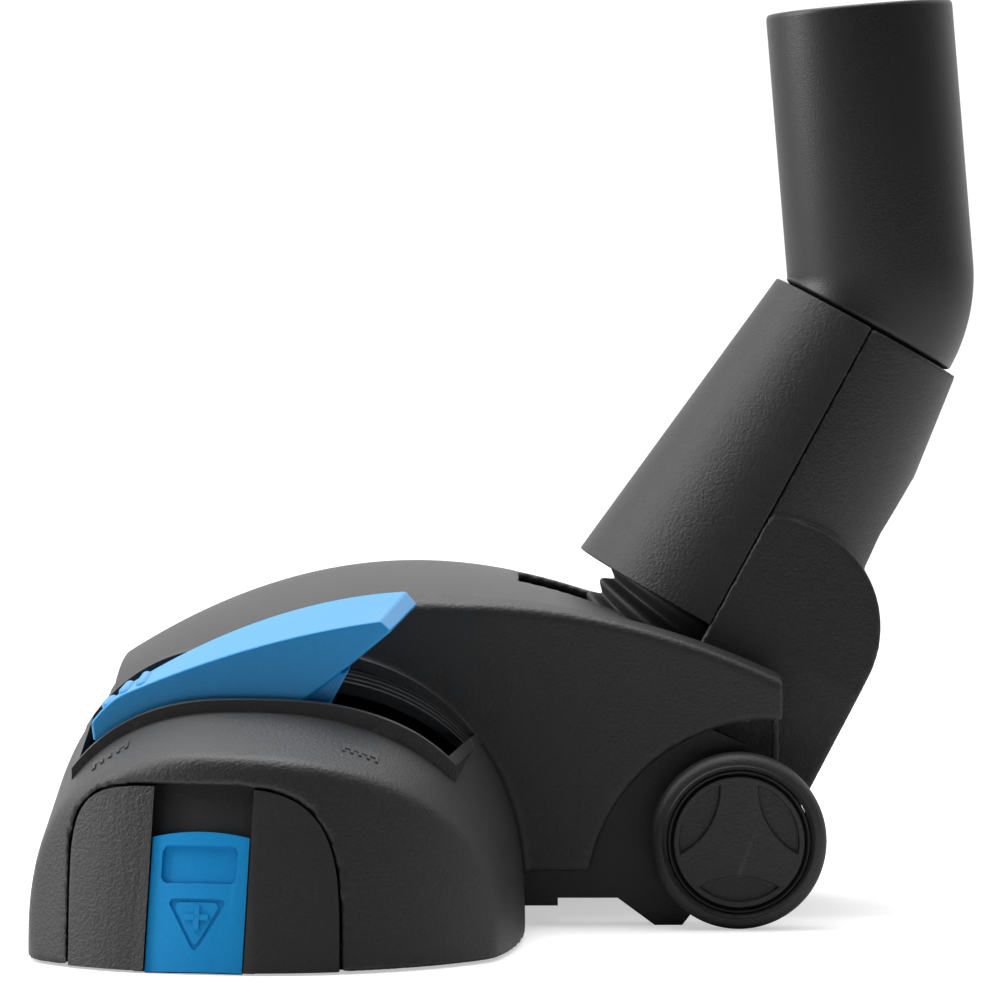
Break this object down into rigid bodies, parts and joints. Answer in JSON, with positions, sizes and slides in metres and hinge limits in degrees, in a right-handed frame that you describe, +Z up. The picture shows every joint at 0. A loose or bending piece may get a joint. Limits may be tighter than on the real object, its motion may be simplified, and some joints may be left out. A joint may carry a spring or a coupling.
{
  "type": "vacuum cleaner floor head",
  "caption": "Wide suction floor head with a rocker pedal that lowers brushes, end sliders, a neck that tilts on two wheels and a swivelling wand socket.",
  "frame": {"origin": "middle of the bounding box's footprint, on the floor", "axes": "+X to the rear (wand side), +Y along the nozzle's width to the right seen from behind the pedal side, +Z up"},
  "size_m": [0.1931, 0.2744, 0.1924],
  "materials": {
    "shell": "fine grained moulded, satin",
    "dark": "moulded, matt",
    "blue": "satin moulded",
    "steel": "plain",
    "rubber": "matt",
    "tyre": "matt",
    "pile": "short pile",
    "bristle": "nylon tufts"
  },
  "bodies": {
    "head": {"upper_housing": "shell", "end_cap_left": "shell", "end_cap_right": "shell", "glide_plate": "steel", "base_plate": "dark", "lint_strips": "pile", "suction_duct": "dark", "rear_chassis": "dark", "axle_left": "steel", "axle_right": "steel", "base_screws": "steel", "chassis_screws": "steel", "pedal_axle": "steel", "pedal_spring": "steel", "slider_springs": "steel", "flexible_hose": "rubber", "axle_clip_left": "steel", "axle_clip_right": "steel"},
    "pedal_body": {"pedal": "blue"},
    "brush_carrier": {"brush_frame": "dark", "brush_strip_front": "bristle", "brush_strip_rear": "bristle", "squeegee_lip": "rubber"},
    "slider_left_body": {"slider_left": "blue"},
    "slider_right_body": {"slider_right": "blue"},
    "neck": {"neck_front_shell": "shell", "neck_rear_shell": "shell", "neck_screws": "steel", "hose_ring": "dark"},
    "elbow": {"swivel_elbow": "dark", "wand_socket": "dark", "swivel_clip": "steel", "swivel_seal": "rubber"},
    "wheel_left_body": {"wheel_tyre_left": "tyre", "wheel_hub_left": "dark", "wheel_cap_left": "dark"},
    "wheel_right_body": {"wheel_tyre_right": "tyre", "wheel_hub_right": "dark", "wheel_cap_right": "dark"}
  },
  "joints": [
    {"name": "neck_tilt", "type": "hinge", "parent": "head", "child": "neck", "pos_m": [0.0449, 0, 0.018], "axis": [0, 1, 0], "range_deg": [0, 60], "deforming": ["flexible_hose"]},
    {"name": "elbow_swivel", "type": "hinge", "parent": "neck", "child": "elbow", "pos_m": [0.07391, 0, 0.12251], "axis": [0.4848, 0, 0.8746], "range_deg": [-90, 90]},
    {"name": "wheel_left", "type": "hinge", "parent": "head", "child": "wheel_left_body", "pos_m": [0.0449, -0.052, 0.018], "axis": [0, 1, 0], "continuous": true},
    {"name": "wheel_right", "type": "hinge", "parent": "head", "child": "wheel_right_body", "pos_m": [0.0449, 0.052, 0.018], "axis": [0, 1, 0], "continuous": true},
    {"name": "pedal_rock", "type": "hinge", "parent": "head", "child": "pedal_body", "pos_m": [-0.052, -0.0785, 0.0367], "axis": [0, 1, 0], "range_deg": [0, 22], "deforming": ["pedal_spring"]},
    {"name": "brush_lift", "type": "slide", "parent": "head", "child": "brush_carrier", "axis": [0, 0, -1], "range_m": [0, 0.0072]},
    {"name": "slide_left", "type": "slide", "parent": "head", "child": "slider_left_body", "axis": [0.0508, 0.2419, 0.969], "range_m": [0, 0.0076]},
    {"name": "slide_right", "type": "slide", "parent": "head", "child": "slider_right_body", "axis": [0.0508, -0.2419, 0.969], "range_m": [0, 0.0076]}
  ],
  "couplings": [
    {"joint": "brush_lift", "follows": "pedal_rock", "m_per_rad": 0.01823}
  ]
}
